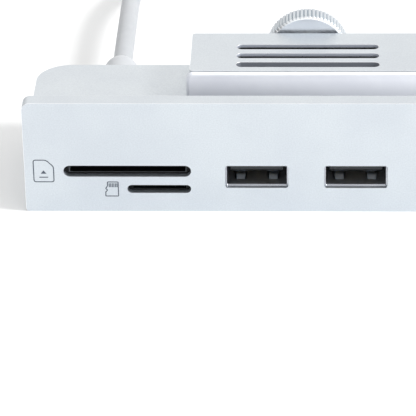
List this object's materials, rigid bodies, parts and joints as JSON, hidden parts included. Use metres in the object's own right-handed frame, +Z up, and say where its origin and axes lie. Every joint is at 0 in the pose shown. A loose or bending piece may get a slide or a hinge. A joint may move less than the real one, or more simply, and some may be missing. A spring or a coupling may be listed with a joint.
{
  "type": "usb hub",
  "caption": "Slim aluminium hub that clamps on the lower edge of a display, with front USB and card ports, a knurled thumb wheel and a short captive cord.",
  "frame": {"origin": "on the surface the hub stands on, under the middle of the hub without its free cord", "axes": "+X along the hub's length to the right as seen from the port side, +Y to the rear, away from the ports, +Z up"},
  "size_m": [0.12, 0.1287, 0.0279],
  "materials": {
    "casing": "fine bead-blasted, anodised silver",
    "wheel": "turned and knurled, satin",
    "steel": "plated, satin",
    "board": "solder mask",
    "black_plastic": "moulded, matt",
    "ceramic": "sintered",
    "nylon": "moulded",
    "brass": "turned",
    "silicone": "smooth, satin",
    "cord_jacket": "soft satin thermoplastic",
    "plug_metal": "anodised silver, satin"
  },
  "bodies": {
    "hub": {"front_panel": "casing", "rear_housing": "casing", "bottom_cover": "casing", "clamp_block": "casing", "cover_screw_1": "steel", "cover_screw_2": "steel", "cover_screw_3": "steel", "cover_screw_4": "steel", "board_screw_1": "steel", "board_screw_2": "steel", "crystal": "steel", "usb_a_shell_1": "steel", "usb_a_shell_2": "steel", "usb_a_shell_3": "steel", "usb_c_shell": "steel", "block_screw_1": "steel", "block_screw_2": "steel", "plug_shell": "steel", "main_board": "board", "hub_chip": "black_plastic", "card_reader_chip": "black_plastic", "usb_a_tongue_1": "black_plastic", "usb_a_tongue_2": "black_plastic", "usb_a_tongue_3": "black_plastic", "usb_c_tongue": "black_plastic", "card_socket": "black_plastic", "micro_card_socket": "black_plastic", "plug_insert": "black_plastic", "slot_tray": "black_plastic", "capacitor_1": "ceramic", "capacitor_2": "ceramic", "cord_header": "nylon", "screw_bush": "brass", "lip_pad": "silicone", "shelf_pad": "silicone", "strain_relief": "cord_jacket", "cord": "cord_jacket", "plug_relief": "cord_jacket", "plug_body": "plug_metal"},
    "wheel": {"thumb_wheel": "wheel", "clamp_screw": "steel", "retaining_ring": "steel", "thrust_washer": "nylon"},
    "jaw": {"jaw_plate": "steel", "jaw_pad": "silicone", "jaw_carriage": "brass", "guide_pin_1": "steel", "guide_pin_2": "steel"}
  },
  "joints": [
    {"name": "wheel_turn", "type": "hinge", "parent": "hub", "child": "wheel", "pos_m": [0, 0.0188, 0.0189], "axis": [0, 1, 0], "range_deg": [0, 3421]},
    {"name": "jaw_slide", "type": "slide", "parent": "hub", "child": "jaw", "axis": [0, -1, 0], "range_m": [0, 0.0076]}
  ],
  "couplings": [
    {"joint": "wheel_turn", "follows": "jaw_slide", "rad_per_m": 7854}
  ]
}
